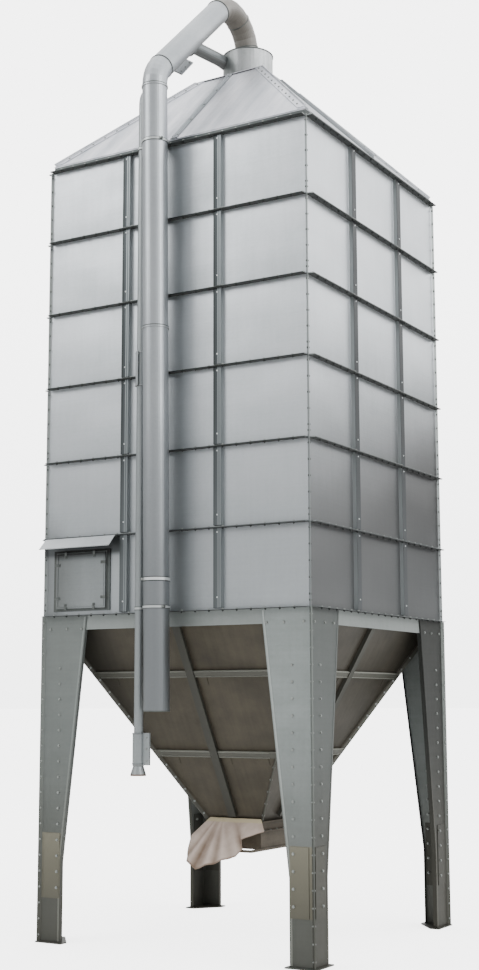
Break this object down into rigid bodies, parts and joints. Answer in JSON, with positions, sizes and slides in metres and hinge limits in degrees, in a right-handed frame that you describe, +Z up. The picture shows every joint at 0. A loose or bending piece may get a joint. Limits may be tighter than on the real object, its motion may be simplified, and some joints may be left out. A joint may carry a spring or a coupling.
{
  "type": "modular silo",
  "caption": "Square bolted-panel storage silo on four tapered legs, with pyramid hopper, canvas outlet sleeve, pyramid roof, vent duct and fill pipe.",
  "frame": {"origin": "bottom centre of the whole part's box, on the floor level of the feet; the silo's own axis stands 154 mm behind it", "axes": "+Z up; -Y towards the front with the pipes and the hatch; +X to the right seen from the front"},
  "size_m": [3.14, 3.448, 9.8981],
  "materials": {
    "wall_sheet": "galvanised sheet, semi-gloss, faint rolling streaks",
    "roof_sheet": "galvanised sheet, bright",
    "frame_steel": "galvanised steel gone matt and grey-green",
    "hopper_steel": "galvanised steel with dried dust, matt brown-grey",
    "duct_steel": "galvanised tube, semi-gloss",
    "canvas": "stained woven canvas"
  },
  "bodies": {
    "root": {"front_panel_1": "wall_sheet", "front_panel_2": "wall_sheet", "front_panel_3": "wall_sheet", "front_panel_4": "wall_sheet", "front_panel_5": "wall_sheet", "front_panel_6": "wall_sheet", "right_panel_1": "wall_sheet", "right_panel_2": "wall_sheet", "right_panel_3": "wall_sheet", "right_panel_4": "wall_sheet", "right_panel_5": "wall_sheet", "right_panel_6": "wall_sheet", "back_panel_1": "wall_sheet", "back_panel_2": "wall_sheet", "back_panel_3": "wall_sheet", "back_panel_4": "wall_sheet", "back_panel_5": "wall_sheet", "back_panel_6": "wall_sheet", "left_panel_1": "wall_sheet", "left_panel_2": "wall_sheet", "left_panel_3": "wall_sheet", "left_panel_4": "wall_sheet", "left_panel_5": "wall_sheet", "left_panel_6": "wall_sheet", "roof_front": "roof_sheet", "roof_right": "roof_sheet", "roof_back": "roof_sheet", "roof_left": "roof_sheet", "ring_beam_front": "frame_steel", "ring_beam_right": "frame_steel", "ring_beam_back": "frame_steel", "ring_beam_left": "frame_steel", "hopper_front": "hopper_steel", "hopper_right": "hopper_steel", "hopper_back": "hopper_steel", "hopper_left": "hopper_steel", "leg_front_left": "frame_steel", "leg_front_right": "frame_steel", "leg_back_right": "frame_steel", "leg_back_left": "frame_steel", "outlet_chute": "hopper_steel", "outlet_cloth": "canvas", "roof_cap": "roof_sheet", "collar": "roof_sheet", "duct_lower": "duct_steel", "duct_upper": "duct_steel", "duct_incline": "duct_steel", "duct_bend": "duct_steel", "fill_pipe": "duct_steel", "fill_spout": "duct_steel", "fill_sleeve": "duct_steel", "fill_inlet": "duct_steel", "pipe_clamp_low": "frame_steel", "pipe_clamp_high": "frame_steel", "hatch_frame": "wall_sheet", "hatch_cover": "wall_sheet", "hatch_canopy": "roof_sheet"}
  },
  "joints": []
}
